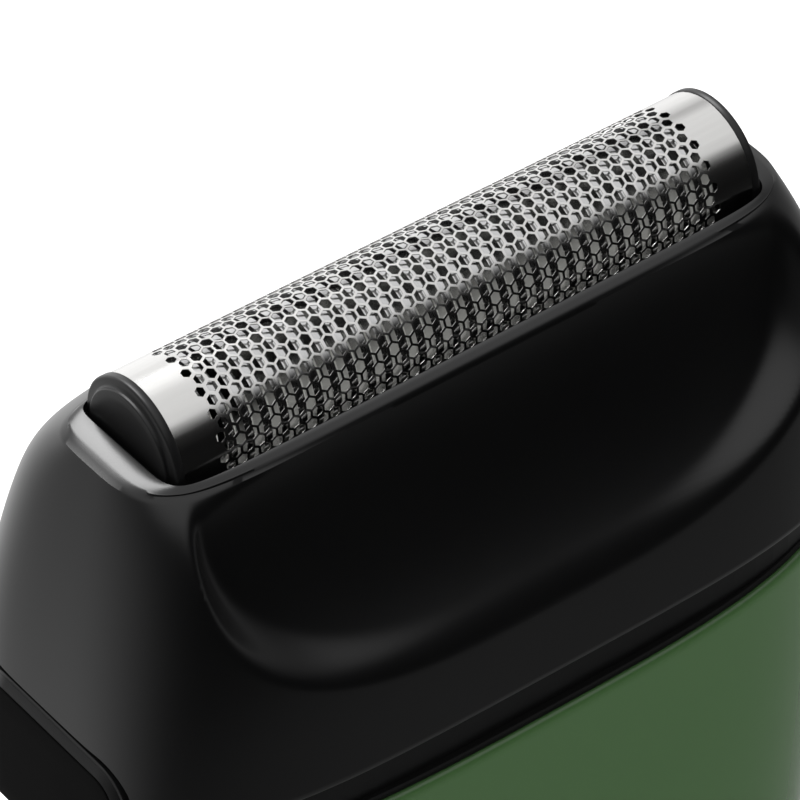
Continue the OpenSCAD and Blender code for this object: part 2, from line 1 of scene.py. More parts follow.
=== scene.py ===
import json
import math
import bmesh
import bpy
import numpy as np
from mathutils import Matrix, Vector


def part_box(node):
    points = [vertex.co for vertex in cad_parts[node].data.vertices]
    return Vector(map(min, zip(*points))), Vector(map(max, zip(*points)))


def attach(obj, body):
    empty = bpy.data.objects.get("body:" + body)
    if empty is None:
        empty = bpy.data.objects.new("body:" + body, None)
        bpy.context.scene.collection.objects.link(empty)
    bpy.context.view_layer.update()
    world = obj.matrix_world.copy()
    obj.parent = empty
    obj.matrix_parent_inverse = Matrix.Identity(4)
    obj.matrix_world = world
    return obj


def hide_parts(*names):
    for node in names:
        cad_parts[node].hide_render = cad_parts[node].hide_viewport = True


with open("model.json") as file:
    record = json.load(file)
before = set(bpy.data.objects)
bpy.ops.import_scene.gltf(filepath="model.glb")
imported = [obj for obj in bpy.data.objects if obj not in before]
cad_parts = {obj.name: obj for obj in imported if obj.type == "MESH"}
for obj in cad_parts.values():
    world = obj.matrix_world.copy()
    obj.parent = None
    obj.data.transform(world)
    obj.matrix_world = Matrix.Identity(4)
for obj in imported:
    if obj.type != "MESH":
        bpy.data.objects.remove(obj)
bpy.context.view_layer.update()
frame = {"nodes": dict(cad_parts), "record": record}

mm = 0.001
print("frame loaded:", len(frame["nodes"]), "nodes")

# Places that come from the frame
foilLow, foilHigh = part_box("foil")
foilRadius = (foilHigh.y - foilLow.y) / 2
foilHalf = foilHigh.x
axisZ = foilHigh.z - foilRadius          # height of the axis of the foil's arch
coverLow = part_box("head_cover")[0].z
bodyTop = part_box("front_shell")[1].z
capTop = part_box("bottom_cap")[1].z

cameraView = {"azimuth": -37.83, "elevation": 41.12, "distance": 369.9, "lens": 271.5,
              "lookAt": (-3.94, -2.04, -4.86)}
# Each sky entry is where its light starts and is full, as a part of the direction, and its strength
studio = {"ceiling": (0.44, 0.76, 1.25), "side": (-0.9, 0.9, 0.75), "back": (0.45, 0.95, 1.8),
          "ground": (-0.55, -0.7, 0.2), "dark": 0.008, "floorColour": 0.9, "floorSize": 6,
          "softboxAzimuth": 169, "softboxElevation": 57, "softboxDistance": 0.9,
          "softboxSize": (0.38, 0.62), "softboxPower": 10}


def backVector(azimuth, elevation):
    a, e = math.radians(azimuth), math.radians(elevation)
    return Vector((math.sin(a) * math.cos(e), -math.cos(a) * math.cos(e), math.sin(e)))


def makeCamera():
    back = backVector(cameraView["azimuth"], cameraView["elevation"])
    x, y, z = cameraView["lookAt"]
    target = Vector((x * mm, y * mm, z * mm + axisZ))
    bpy.ops.object.camera_add(location=target + back * cameraView["distance"] * mm)
    camera = bpy.context.object
    camera.rotation_euler = (-back).to_track_quat("-Z", "Y").to_euler()
    camera.data.lens = cameraView["lens"]
    camera.data.sensor_width = 36
    camera.data.clip_start = 0.01
    bpy.context.scene.camera = camera


# Light by direction: a bright ceiling, a bright sweep behind, a dim ground and a dark front
def makeWorld():
    world = bpy.data.worlds.new("studio")
    bpy.context.scene.world = world
    world.use_nodes = True
    nodes, links = world.node_tree.nodes, world.node_tree.links
    nodes.clear()
    place = nodes.new("ShaderNodeTexCoord")
    split = nodes.new("ShaderNodeSeparateXYZ")
    links.new(place.outputs["Generated"], split.inputs[0])

    def ramp(source, fromMin, fromMax, strength):
        node = nodes.new("ShaderNodeMapRange")
        node.interpolation_type = "SMOOTHSTEP"
        node.inputs["From Min"].default_value = min(fromMin, fromMax)
        node.inputs["From Max"].default_value = max(fromMin, fromMax)
        node.inputs["To Min"].default_value = 0 if fromMin < fromMax else strength
        node.inputs["To Max"].default_value = strength if fromMin < fromMax else 0
        links.new(source, node.inputs["Value"])
        return node.outputs[0]

    parts = [ramp(split.outputs[axis], *studio[key])
             for axis, key in (("Z", "ceiling"), ("Y", "side"), ("Y", "back"), ("Z", "ground"))]
    total = None
    for part in parts:
        most = nodes.new("ShaderNodeMath")
        most.operation = "MAXIMUM"
        links.new(part, most.inputs[0])
        most.inputs[1].default_value = studio["dark"]
        if total is not None:
            links.new(total, most.inputs[1])
        total = most.outputs[0]
    background = nodes.new("ShaderNodeBackground")
    links.new(total, background.inputs["Strength"])
    output = nodes.new("ShaderNodeOutputWorld")
    links.new(background.outputs[0], output.inputs[0])
    bpy.context.scene.view_settings.view_transform = "Standard"


def makeSoftbox():
    back = backVector(studio["softboxAzimuth"], studio["softboxElevation"])
    place = Vector((0, 0, axisZ)) + back * studio["softboxDistance"]
    bpy.ops.object.light_add(type="AREA", location=place)
    light = bpy.context.object
    light.name = "backSoftbox"
    light.rotation_euler = back.to_track_quat("Z", "Y").to_euler()
    light.data.shape = "RECTANGLE"
    light.data.size, light.data.size_y = studio["softboxSize"]
    light.data.energy = studio["softboxPower"]


def makeFloor():
    bpy.ops.mesh.primitive_plane_add(size=studio["floorSize"], location=(0, 0, 0))
    floor = bpy.context.object
    floor.name = "floor"
    material = bpy.data.materials.new("paleFloor")
    material.use_nodes = True
    shader = material.node_tree.nodes["Principled BSDF"]
    shader.inputs["Base Color"].default_value = (studio["floorColour"],) * 3 + (1,)
    shader.inputs["Roughness"].default_value = 0.9
    floor.data.materials.append(material)
    floor.visible_glossy = False          # reflections see the graded ground of the world instead


bpy.ops.object.select_all(action="DESELECT")
makeCamera()
makeWorld()
makeSoftbox()
makeFloor()
print("studio ready")


def newGroup(name, inputs, outputs):
    group = bpy.data.node_groups.new(name, "ShaderNodeTree")
    for socketName, kind, value in inputs:
        socket = group.interface.new_socket(name=socketName, in_out="INPUT", socket_type=kind)
        socket.default_value = value
    for socketName, kind in outputs:
        group.interface.new_socket(name=socketName, in_out="OUTPUT", socket_type=kind)
    return group, group.nodes.new("NodeGroupInput"), group.nodes.new("NodeGroupOutput")


# One noise mixes the colours and spreads the roughness, another raises the surface
def blendOut(group, start, end, mask, height):
    nodes, links = group.nodes, group.links
    blend = nodes.new("ShaderNodeMix")
    blend.data_type = "RGBA"
    links.new(mask.outputs["Fac"], blend.inputs["Factor"])
    links.new(start.outputs["Colour"], blend.inputs["A"])
    links.new(start.outputs["Tint"], blend.inputs["B"])
    links.new(blend.outputs["Result"], end.inputs["Colour"])
    shift = nodes.new("ShaderNodeMath")
    shift.operation = "MULTIPLY_ADD"
    links.new(mask.outputs["Fac"], shift.inputs[0])
    links.new(start.outputs["Spread"], shift.inputs[1])
    links.new(start.outputs["Roughness"], shift.inputs[2])
    links.new(shift.outputs[0], end.inputs["Roughness"])
    links.new(height.outputs["Fac"], end.inputs["Height"])


def mouldedGroup():
    group, start, end = newGroup("mouldedSurface", [
        ("Colour", "NodeSocketColor", (0.5, 0.5, 0.5, 1)), ("Tint", "NodeSocketColor", (0.5, 0.5, 0.5, 1)),
        ("Roughness", "NodeSocketFloat", 0.3), ("Spread", "NodeSocketFloat", 0.05),
        ("Patch Size", "NodeSocketFloat", 60.0), ("Grain Size", "NodeSocketFloat", 3000.0)],
        [("Colour", "NodeSocketColor"), ("Roughness", "NodeSocketFloat"), ("Height", "NodeSocketFloat")])
    nodes, links = group.nodes, group.links
    place = nodes.new("ShaderNodeTexCoord")
    patch = nodes.new("ShaderNodeTexNoise")
    patch.inputs["Detail"].default_value = 4
    links.new(place.outputs["Object"], patch.inputs["Vector"])
    links.new(start.outputs["Patch Size"], patch.inputs["Scale"])
    grain = nodes.new("ShaderNodeTexNoise")
    grain.inputs["Detail"].default_value = 2
    links.new(place.outputs["Object"], grain.inputs["Vector"])
    links.new(start.outputs["Grain Size"], grain.inputs["Scale"])
    blendOut(group, start, end, patch, grain)
    return group


def brushedGroup():
    group, start, end = newGroup("brushedSurface", [
        ("Colour", "NodeSocketColor", (0.6, 0.6, 0.6, 1)), ("Tint", "NodeSocketColor", (0.5, 0.5, 0.5, 1)),
        ("Roughness", "NodeSocketFloat", 0.25), ("Spread", "NodeSocketFloat", 0.1),
        ("Stretch", "NodeSocketVector", (60.0, 4000.0, 4000.0))],
        [("Colour", "NodeSocketColor"), ("Roughness", "NodeSocketFloat"), ("Height", "NodeSocketFloat")])
    nodes, links = group.nodes, group.links
    place = nodes.new("ShaderNodeTexCoord")
    stretch = nodes.new("ShaderNodeMapping")
    links.new(place.outputs["Object"], stretch.inputs["Vector"])
    links.new(start.outputs["Stretch"], stretch.inputs["Scale"])
    lines = nodes.new("ShaderNodeTexNoise")
    lines.inputs["Scale"].default_value = 1
    lines.inputs["Detail"].default_value = 5
    links.new(stretch.outputs[0], lines.inputs["Vector"])
    blendOut(group, start, end, lines, lines)
    return group


moulded = mouldedGroup()
brushed = brushedGroup()


def makeMaterial(name, group, values, bump=0.0, bumpDepth=0.00001, **plain):
    material = bpy.data.materials.new(name)
    material.use_nodes = True
    nodes, links = material.node_tree.nodes, material.node_tree.links
    shader = nodes["Principled BSDF"]
    for socketName, value in plain.items():
        shader.inputs[socketName.replace("_", " ")].default_value = value
    detail = nodes.new("ShaderNodeGroup")
    detail.node_tree = group
    for socketName, value in values.items():
        detail.inputs[socketName].default_value = value
    links.new(detail.outputs["Colour"], shader.inputs["Base Color"])
    links.new(detail.outputs["Roughness"], shader.inputs["Roughness"])
    if bump:
        raised = nodes.new("ShaderNodeBump")
        raised.inputs["Strength"].default_value = bump
        raised.inputs["Distance"].default_value = bumpDepth
        links.new(detail.outputs["Height"], raised.inputs["Height"])
        links.new(raised.outputs[0], shader.inputs["Normal"])
    return material


def rgb(r, g, b):
    return (r, g, b, 1)


def plastic(name, colour, tint, roughness, spread=0.05, patch=60.0, grain=3000.0, bump=0.1, **plain):
    values = {"Colour": rgb(*colour), "Tint": rgb(*tint), "Roughness": roughness, "Spread": spread,
              "Patch Size": patch, "Grain Size": grain}
    return makeMaterial(name, moulded, values, bump, **plain)


def metal(name, colour, tint, roughness, spread=0.1, stretch=(60.0, 4000.0, 4000.0), bump=0.05, **plain):
    values = {"Colour": rgb(*colour), "Tint": rgb(*tint), "Roughness": roughness, "Spread": spread,
              "Stretch": stretch}
    return makeMaterial(name, brushed, values, bump, Metallic=1.0, **plain)


finishes = {
    "cover_gloss": plastic("coverGloss", (0.003, 0.003, 0.0032), (0.005, 0.005, 0.0052),
                           0.26, 0.06, 90, 900, 0.02),
    "black_satin": plastic("blackSatin", (0.005, 0.005, 0.0053), (0.008, 0.008, 0.0083),
                           0.36, 0.08, 150, 5000, 0.25,
                           Specular_IOR_Level=0.35),
    "inner_black": plastic("innerBlack", (0.003, 0.003, 0.003), (0.005, 0.005, 0.005),
                           0.5, 0.1, 150, 4000, 0.3,
                           Specular_IOR_Level=0.2),
    "shell_green": plastic("shellGreen", (0.062, 0.143, 0.0455), (0.066, 0.15, 0.049),
                           0.24, 0.05, 80, 2600, 0.05),
    "foil_steel": metal("foilSteel", (0.66, 0.655, 0.645), (0.6, 0.595, 0.585),
                        0.14, 0.1, (120.0, 3000.0, 3000.0), 0.03),
    "cutter_steel": metal("cutterSteel", (0.6, 0.6, 0.6), (0.5, 0.5, 0.5),
                          0.12, 0.06, (3000.0, 200.0, 200.0), 0.05),
    "spring_steel": metal("springSteel", (0.55, 0.55, 0.55), (0.45, 0.45, 0.45), 0.25),
    "white_moulding": plastic("whiteMoulding", (0.72, 0.72, 0.68), (0.66, 0.66, 0.62),
                              0.4, 0.1, 120, 3000, 0.1),
    "steel": metal("turnedSteel", (0.6, 0.6, 0.61), (0.5, 0.5, 0.51), 0.22, 0.12, (300.0, 300.0, 6000.0)),
    "zinc_can": metal("platedCan", (0.62, 0.62, 0.63), (0.52, 0.53, 0.55), 0.3, 0.15, (200.0, 200.0, 900.0)),
    "bronze": metal("sinteredBronze", (0.6, 0.42, 0.2), (0.45, 0.3, 0.13),
                    0.4, 0.15, (2500.0, 2500.0, 2500.0), 0.2),
    "copper_winding": metal("copperWinding", (0.6, 0.25, 0.1), (0.4, 0.15, 0.06),
                            0.3, 0.15, (900.0, 900.0, 6000.0), 0.3),
    "magnet": plastic("ferrite", (0.03, 0.03, 0.032), (0.05, 0.05, 0.052), 0.6, 0.15, 900, 3000, 0.3),
    "bracket_alloy": metal("stampedAlloy", (0.66, 0.67, 0.68), (0.55, 0.56, 0.57), 0.3),
    "cell_wrap": plastic("cellWrap", (0.03, 0.13, 0.07), (0.04, 0.16, 0.09), 0.25, 0.08, 200, 1500, 0.1),
    "board_green": plastic("solderMask", (0.006, 0.06, 0.025), (0.015, 0.1, 0.04),
                           0.25, 0.1, 1200, 3000, 0.15),
    "chip_black": plastic("chipBlack", (0.012, 0.012, 0.012), (0.02, 0.02, 0.02), 0.5, 0.1, 900, 6000, 0.3),
    "switch_metal": metal("switchMetal", (0.62, 0.62, 0.62), (0.5, 0.5, 0.5), 0.28),
    "clear_lens": plastic("clearLens", (0.75, 0.85, 0.76), (0.8, 0.9, 0.8), 0.1, 0.05, 300, 2000, 0.02,
                          Transmission_Weight=0.6),
    "red_lead": plastic("redLead", (0.3, 0.01, 0.01), (0.36, 0.02, 0.02), 0.4, 0.1, 400, 3000, 0.1),
    "black_lead": plastic("blackLead", (0.01, 0.01, 0.01), (0.016, 0.016, 0.016), 0.4, 0.1, 400, 3000, 0.1),
    "gasket_grey": plastic("gasketGrey", (0.004, 0.004, 0.004), (0.006, 0.006, 0.006),
                           0.5, 0.1, 300, 4000, 0.2,
                           Specular_IOR_Level=0.2),
    "seal_rubber": plastic("sealRubber", (0.012, 0.012, 0.012), (0.018, 0.018, 0.018),
                           0.55, 0.1, 300, 5000, 0.3),
    "pad_matte": plastic("padMatte", (0.002, 0.002, 0.002), (0.003, 0.003, 0.003), 0.6, 0.1, 300, 9000, 0.4,
                         Specular_IOR_Level=0.03),
    "satin_metal": metal("satinMetal", (0.62, 0.63, 0.64), (0.5, 0.51, 0.52), 0.28),
    "bright_ring": metal("brightRing", (0.7, 0.7, 0.7), (0.62, 0.62, 0.62), 0.12),
}


def paint(piece, slotName):
    piece.data.materials.clear()
    piece.data.materials.append(finishes[slotName])


slotOf = {entry["node"]: entry["material_slot"] for entry in frame["record"]["subparts"]}
for nodeName, nodeObject in frame["nodes"].items():
    for i in range(max(1, len(nodeObject.material_slots))):
        if not nodeObject.material_slots:
            nodeObject.data.materials.append(None)
        nodeObject.material_slots[i].material = finishes[slotOf[nodeName]]
print("materials ready:", len(finishes))


def power(value, squareness):
    return np.sign(value) * np.abs(value) ** (2 / squareness)


# Superellipse outline with evenly spaced points
def superOutline(a, b, n, count, start=0.0, sweep=360.0):
    angle = np.radians(start + sweep * np.linspace(0, 1, 2881))
    dense = np.stack([a * power(np.cos(angle), n), b * power(np.sin(angle), n)], 1)
    length = np.concatenate([[0], np.cumsum(np.linalg.norm(np.diff(dense, axis=0), axis=1))])
    closed = abs(sweep - 360) < 0.01
    want = np.linspace(0, length[-1], count + 1)[:-1] if closed else np.linspace(0, length[-1], count)
    return np.stack([np.interp(want, length, dense[:, 0]), np.interp(want, length, dense[:, 1])], 1)


def activate(piece):
    bpy.ops.object.select_all(action="DESELECT")
    piece.select_set(True)
    bpy.context.view_layer.objects.active = piece


def applyModifier(piece, kind, **values):
    activate(piece)
    modifier = piece.modifiers.new(kind.lower(), kind)
    for key, value in values.items():
        setattr(modifier, key, value)
    bpy.ops.object.modifier_apply(modifier=modifier.name)


def finishMesh(piece, angle=35):
    activate(piece)
    bpy.ops.object.mode_set(mode="EDIT")
    bpy.ops.mesh.select_all(action="SELECT")
    bpy.ops.mesh.remove_doubles(threshold=0.000001)
    bpy.ops.mesh.normals_make_consistent(inside=False)
    bpy.ops.object.mode_set(mode="OBJECT")
    bpy.ops.object.shade_smooth_by_angle(angle=math.radians(angle))


# Extrudes a ring level by level, and sets each level to its section's outline
def loftRings(name, rings, ends="fill", angle=35):
    rings = [np.asarray(ring, float) for ring in rings]
    bpy.ops.object.select_all(action="DESELECT")
    bpy.ops.mesh.primitive_circle_add(vertices=len(rings[0]), radius=0.01)
    piece = bpy.context.object
    piece.name = name
    piece.data.name = name
    bpy.ops.object.mode_set(mode="EDIT")
    mesh = bmesh.from_edit_mesh(piece.data)
    order = mesh.verts.layers.int.new("order")
    for i, vertex in enumerate(mesh.verts):
        vertex[order] = i
        vertex.co = rings[0][i]
    if ends == "fill":
        bpy.ops.mesh.select_all(action="SELECT")
        bpy.ops.mesh.edge_face_add()
    levels = rings[1:] + ([rings[0]] if ends == "close" else [])
    for ring in levels:
        bpy.ops.mesh.extrude_region_move()
        mesh = bmesh.from_edit_mesh(piece.data)
        order = mesh.verts.layers.int["order"]
        for vertex in mesh.verts:
            if vertex.select:
                vertex.co = ring[vertex[order]]
        bmesh.update_edit_mesh(piece.data)
    bpy.ops.object.mode_set(mode="OBJECT")
    finishMesh(piece, angle)
    return piece


def withHeight(outline, z):
    return np.column_stack([outline, np.full(len(outline), z)])


headCover = {"rimA": 25.3, "growA": 4.6, "fallA": 11.1, "rimB": 7.4, "growB": 5.6, "fallB": 3.15,
             "rimRear": 5.6, "growRear": 5.5, "fallRear": 3.0, "squareRear": 5.2,
             "flareRear": 1.9, "flareFrom": 5, "flareOver": 14,
             "squareTop": 3.2, "squareGain": 0.8, "squareFall": 8.0,
             "scoopHalf": 24.7, "scoopLow": 14.9, "scoopRim": 6.35, "scoopSweep": 6.5, "scoopPower": 2.2,
             "sideRise": 8.0, "sideFrom": 0.9, "sideWide": 0.22, "scoopEdge": 1.1, "scoopWall": 0.9,
             "wall": 1.6, "points": 400,
             "openingGapX": 1.1, "openingGapY": 1.07, "openingGapRear": 0.72, "openingSquare": 10,
             "openingSquareRear": 14, "lipDepth": 1.8,
             # Over the rim: height, insets in x and in front, squareness, inset of the scoop, inset and
             # squareness at the rear
             "rimSteps": ((-0.14, 0.3, 0.4, 3.9, 0.08, 0.02, 6), (0.0, 0.6, 0.65, 4.5, 0.14, 0.06, 7.5),
                          (0.05, 0.8, 0.85, 4.8, 0.2, 0.12, 8), (0.18, 1.3, 1.15, 5.6, 0.3, 0.2, 9),
                          (0.25, 1.8, 1.4, 6.6, 0.42, 0.28, 10), (0.27, 2.04, 1.6, 8, 0.55, 0.36, 12),
                          (0.2, 2.16, 1.7, 9.5, 0.66, 0.42, 13.5)),
             "notchHalf": 8.2, "notchY": 1.0, "notchLow": -32.0, "notchTop": -18.7, "notchCorner": 3.0}


def coverHalfWidth(z):
    return headCover["rimA"] + headCover["growA"] * (1 - math.exp(z / headCover["fallA"]))


def coverHalfDepth(z):
    return headCover["rimB"] + headCover["growB"] * (1 - math.exp(z / headCover["fallB"]))


def coverRearDepth(z):
    return (headCover["rimRear"] + headCover["growRear"] * (1 - math.exp(z / headCover["fallRear"]))
            + headCover["flareRear"] * float(smooth((-z - headCover["flareFrom"]) / headCover["flareOver"])))


def coverSquareness(z):
    return headCover["squareTop"] + headCover["squareGain"] * (1 - math.exp(z / headCover["squareFall"]))


def smooth(t):
    t = np.clip(t, 0, 1)
    return t * t * (3 - 2 * t)


# Depth of the hollow front face, which rises steeply at the sides of its U outline
def scoopDepth(x, z):
    s = max(0.0, -z) / headCover["scoopLow"]
    u = np.abs(x) / headCover["scoopHalf"]
    w = np.maximum(0.001, (u ** 3 + s ** 3) ** (1 / 3))
    side = (u / w) ** 3 * smooth((w - headCover["sideFrom"]) / headCover["sideWide"])
    hollow = headCover["scoopRim"] + headCover["scoopSweep"] * s ** headCover["scoopPower"]
    return hollow + headCover["sideRise"] * side


def roundMin(u, v, k):
    h = np.clip(0.5 + 0.5 * (u - v) / k, 0, 1)
    return u + (v - u) * h - k * h * (1 - h)


def coverRing(z, a, front, square, inset, least, rear, squareRear):
    half = headCover["points"] // 2
    back = superOutline(a, rear, squareRear, half + 1, 0, 180)[:-1]
    face = superOutline(a, front, square, half + 1, 180, 180)[:-1]
    depth = -face[:, 1]
    hollow = np.maximum(least, scoopDepth(face[:, 0], z) - inset)
    face[:, 1] = -np.minimum(depth, np.maximum(least, roundMin(depth, hollow, headCover["scoopEdge"])))
    return withHeight(np.vstack([back, face]), z) * mm + np.array([0, 0, axisZ])


def makeHeadCover():
    openA = foilHalf / mm + headCover["openingGapX"]
    openB = foilRadius / mm + headCover["openingGapY"]
    openRear = foilRadius / mm + headCover["openingGapRear"]
    low = (coverLow - axisZ) / mm
    wall, lip, rearSquare = headCover["wall"], headCover["lipDepth"], headCover["squareRear"]
    levels = [(low, 0.35), (low + 0.1, 0.13), (low + 0.35, 0)]
    heights = [low + 0.7, low + 1.2] + list(np.linspace(low + 2, -1.2, 64)) + [-0.8, -0.5, -0.3]
    levels += [(z, 0.0) for z in heights]
    rings = []
    for z, inset in levels:
        rings.append(coverRing(z, coverHalfWidth(z) - inset, coverHalfDepth(z) - inset, coverSquareness(z),
                               inset, 0, coverRearDepth(z) - inset, rearSquare))
    rimA, rimB, rimRear = headCover["rimA"], headCover["rimB"], headCover["rimRear"]
    for z, insetA, insetB, square, inset, insetRear, squareRear in headCover["rimSteps"]:
        rings.append(coverRing(z, rimA - insetA, rimB - insetB, square, inset, 0,
                               rimRear - insetRear, squareRear))
    for z in (0.05, -lip):
        rings.append(coverRing(z, openA, openB, headCover["openingSquare"], 0, openB, openRear,
                               headCover["openingSquareRear"]))
    for z, inset in reversed([level for level in levels if level[0] < -lip - 0.6]):
        rings.append(coverRing(z, max(openA, coverHalfWidth(z) - wall + inset),
                               max(openB, coverHalfDepth(z) - wall + inset), coverSquareness(z),
                               headCover["scoopWall"] - inset, openB,
                               max(openRear, coverRearDepth(z) - wall + inset), rearSquare))
    piece = loftRings("headShell", rings, "close")
    bpy.ops.object.select_all(action="DESELECT")
    cutNotch(piece)
    paint(piece, "cover_gloss")
    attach(piece, "head")
    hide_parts("head_cover")


# Outline in y and z with round top corners, from the low right corner round to the low left one
def roundedOutline(halfY, low, high, corner, count=12, inset=0.0):
    h, top, r = halfY - inset, high - inset, max(0.05, corner - inset)
    bottom = low + inset
    points = [(h, bottom)]
    for i in range(count + 1):
        a = math.pi / 2 * i / count
        points.append((h - r + r * math.cos(a), top - r + r * math.sin(a)))
    for i in range(count + 1):
        a = math.pi / 2 * (1 + i / count)
        points.append((-h + r + r * math.cos(a), top - r + r * math.sin(a)))
    points.append((-h, bottom))
    return np.array(points)


def roundedSlab(name, x0, x1, halfY, low, high, corner):
    outline = roundedOutline(halfY, low, high, corner) + (headCover["notchY"], 0)
    rings = [np.column_stack([np.full(len(outline), x), outline]) * mm + np.array([0, 0, axisZ])
             for x in (x0, x1)]
    return loftRings(name, rings)


def cutAway(piece, tool, angle=35):
    applyModifier(piece, "BOOLEAN", operation="DIFFERENCE", object=tool, solver="EXACT")
    bpy.data.objects.remove(tool)
    activate(piece)
    bpy.ops.object.shade_smooth_by_angle(angle=math.radians(angle))


def cutNotch(piece):
    cutAway(piece, roundedSlab("notchTool", -40, 40, headCover["notchHalf"], headCover["notchLow"],
                               headCover["notchTop"], headCover["notchCorner"]))


makeHeadCover()
print("head cover made")

foil = {"pitch": 0.866, "acrossFlats": 0.72, "columns": 45, "rowStart": -2, "rowCount": 23,
        "firstRowAngle": 4.66, "thickness": 0.06, "skirtLow": -5.4, "endScale": (0.85, 0.92, 0.98)}


def makeFoil():
    pitch, rowStep = foil["pitch"], foil["pitch"] * math.sqrt(3) / 2
    radius = foilRadius / mm
    firstRow = math.radians(foil["firstRowAngle"]) * radius + foil["rowStart"] * rowStep
    bpy.ops.object.select_all(action="DESELECT")
    bpy.ops.mesh.primitive_circle_add(vertices=6, radius=pitch / math.sqrt(3), fill_type="NGON")
    piece = bpy.context.object
    piece.name = "perforatedFoil"
    bpy.ops.object.mode_set(mode="EDIT")
    bpy.ops.mesh.select_all(action="SELECT")
    bpy.ops.mesh.inset(thickness=(pitch - foil["acrossFlats"]) / 2)
    bpy.ops.mesh.delete(type="FACE")
    bpy.ops.object.mode_set(mode="OBJECT")
    half = (foil["columns"] - 1) / 2 * pitch
    bpy.ops.transform.translate(value=(-half, firstRow, 0))
    bpy.ops.object.transform_apply(location=True)
    bpy.ops.object.duplicate()
    second = bpy.context.object
    bpy.ops.transform.translate(value=(pitch / 2, rowStep, 0))
    bpy.ops.object.transform_apply(location=True)
    rows = foil["rowCount"]
    for part, columns, count in ((piece, foil["columns"], (rows + 1) // 2),
                                 (second, foil["columns"] - 1, rows // 2)):
        applyModifier(part, "ARRAY", count=columns, use_relative_offset=False, use_constant_offset=True,
                      constant_offset_displace=(pitch, 0, 0))
        applyModifier(part, "ARRAY", count=count, use_relative_offset=False, use_constant_offset=True,
                      constant_offset_displace=(0, rowStep * 2, 0))
    activate(piece)
    second.select_set(True)
    bpy.ops.object.join()
    piece = bpy.context.object
    bpy.ops.object.mode_set(mode="EDIT")
    bpy.ops.mesh.select_all(action="SELECT")
    bpy.ops.mesh.remove_doubles(threshold=0.01)
    mesh = bmesh.from_edit_mesh(piece.data)
    lastRow = firstRow + (rows - 1) * rowStep
    edgeX = foilHalf / mm
    holeReach = (pitch + foil["acrossFlats"]) / 2 / math.sqrt(3)

    def cellMiddle(co):
        row = round((co.y - firstRow) / rowStep)
        best = None
        for r in (row - 1, row, row + 1):
            shift = pitch / 2 if r % 2 else 0
            x = -half + shift + round((co.x + half - shift) / pitch) * pitch
            middle = Vector((x, firstRow + r * rowStep, 0))
            if best is None or (middle - co).length < (best - co).length:
                best = middle
        return best

    holeVerts = set()
    for vertex in mesh.verts:
        middle = cellMiddle(vertex.co)
        if (vertex.co - middle).length < holeReach:
            holeVerts.add(vertex)
            steps = (half - abs(middle.x)) / pitch
            scale = np.interp(steps, (0, 1, 2, 3), foil["endScale"] + (1.0,))
            vertex.co = middle + (vertex.co - middle) * scale
    bpy.ops.mesh.select_mode(type="EDGE")
    bpy.ops.mesh.select_all(action="DESELECT")
    for edge in mesh.edges:
        if edge.is_boundary and not (edge.verts[0] in holeVerts or edge.verts[1] in holeVerts):
            edge.select = True
    bmesh.update_edit_mesh(piece.data)
    bpy.ops.mesh.extrude_region_move()
    mesh = bmesh.from_edit_mesh(piece.data)
    lowV, highV = foil["skirtLow"], math.pi * radius - foil["skirtLow"]
    for vertex in mesh.verts:
        if vertex.select:
            x, v = vertex.co.x, vertex.co.y
            isLow, isHigh = v < firstRow - 0.2, v > lastRow + 0.2
            isSide = abs(x) > half - 0.01
            if (isLow or isHigh) and abs(x) < half + pitch * 0.4:
                isSide = False
            vertex.co.x = math.copysign(edgeX, x) if isSide else x
            vertex.co.y = lowV if isLow else highV if isHigh else v
    for vertex in mesh.verts:
        v = vertex.co.y
        if v < 0:
            y, z = -radius, v
        elif v > math.pi * radius:
            y, z = radius, math.pi * radius - v
        else:
            y, z = -radius * math.cos(v / radius), radius * math.sin(v / radius)
        vertex.co = Vector((vertex.co.x * mm, y * mm, z * mm + axisZ))
    bmesh.update_edit_mesh(piece.data)
    bpy.ops.mesh.select_mode(type="VERT")
    bpy.ops.object.mode_set(mode="OBJECT")
    finishMesh(piece, 30)
    applyModifier(piece, "SOLIDIFY", thickness=foil["thickness"] * mm, offset=-1, use_even_offset=True)
    activate(piece)
    bpy.ops.object.shade_smooth_by_angle(angle=math.radians(30))
    paint(piece, "foil_steel")
    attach(piece, "foil_cassette")
    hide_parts("foil")


makeFoil()
print("foil made")

body = {"topA": 29.6, "lowA": 26.2, "topB": 13.0, "waistB": 11.5, "waistZ": 40.0, "square": 3.2, "wall": 1.6,
        "edge": 0.45, "points": 200, "holeZ": 40.0, "holeRadius": 6.6, "recessRadius": 7.6, "recessDepth": 0.4,
        "pipeZ": 27.0, "pipeRadius": 1.25}


def bodyHalfWidth(z):
    return body["lowA"] + (body["topA"] - body["lowA"]) * float(smooth(z / (bodyTop / mm)))


def bodyHalfDepth(z):
    part = (z - body["waistZ"]) / (bodyTop / mm - body["waistZ"])
    return body["waistB"] + (body["topB"] - body["waistB"]) * part ** 2


def halfRing(z, start, outset):
    a, b, wall = bodyHalfWidth(z), bodyHalfDepth(z), body["wall"]
    outer = superOutline(a - outset, b - outset, body["square"], body["points"], start, 180)
    inner = superOutline(a - wall + outset, b - wall + outset, body["square"], body["points"], start, 180)
    return withHeight(np.vstack([outer, inner[::-1]]), z) * mm


def makeShell(name, start, node):
    edge, low, high = body["edge"], capTop / mm, bodyTop / mm
    levels = [(low, 0.1), (low + 0.1, 0.0)]
    levels += [(z, 0.0) for z in np.linspace(low + 1, high - 1, 40)]
    levels += [(high - edge * (1 - math.sin(a)), edge * (1 - math.cos(a)))
               for a in np.radians([0, 30, 60, 90])]
    piece = loftRings(name, [halfRing(z, start, outset) for z, outset in levels])
    cutNotch(piece)
    paint(piece, "shell_green")
    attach(piece, "handle")
    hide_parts(node)
    return piece


